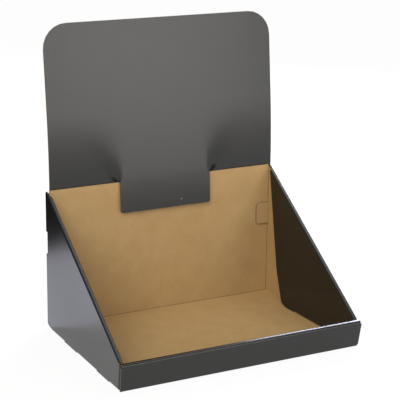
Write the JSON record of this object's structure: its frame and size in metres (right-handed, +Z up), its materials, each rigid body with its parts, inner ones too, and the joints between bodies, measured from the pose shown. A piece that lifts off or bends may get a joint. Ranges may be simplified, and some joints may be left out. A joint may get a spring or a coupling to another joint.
{
  "type": "counter display box",
  "caption": "Folded corrugated counter display tray with sloping double sides, a low front lip and a slotted header card.",
  "frame": {"origin": "on the ground under the middle of the base", "axes": "+Z up, -Y the open front with the lip, +X the viewer's right"},
  "size_m": [0.312, 0.2359, 0.3692],
  "materials": {
    "tray_board": "corrugated board, satin black print outside and on the folded-in flaps, bare kraft liner on the floor and back",
    "header_board": "corrugated board, satin black print on the front, bare kraft liner behind"
  },
  "bodies": {
    "root": {"tray": "tray_board", "header_card": "header_board"}
  },
  "joints": []
}
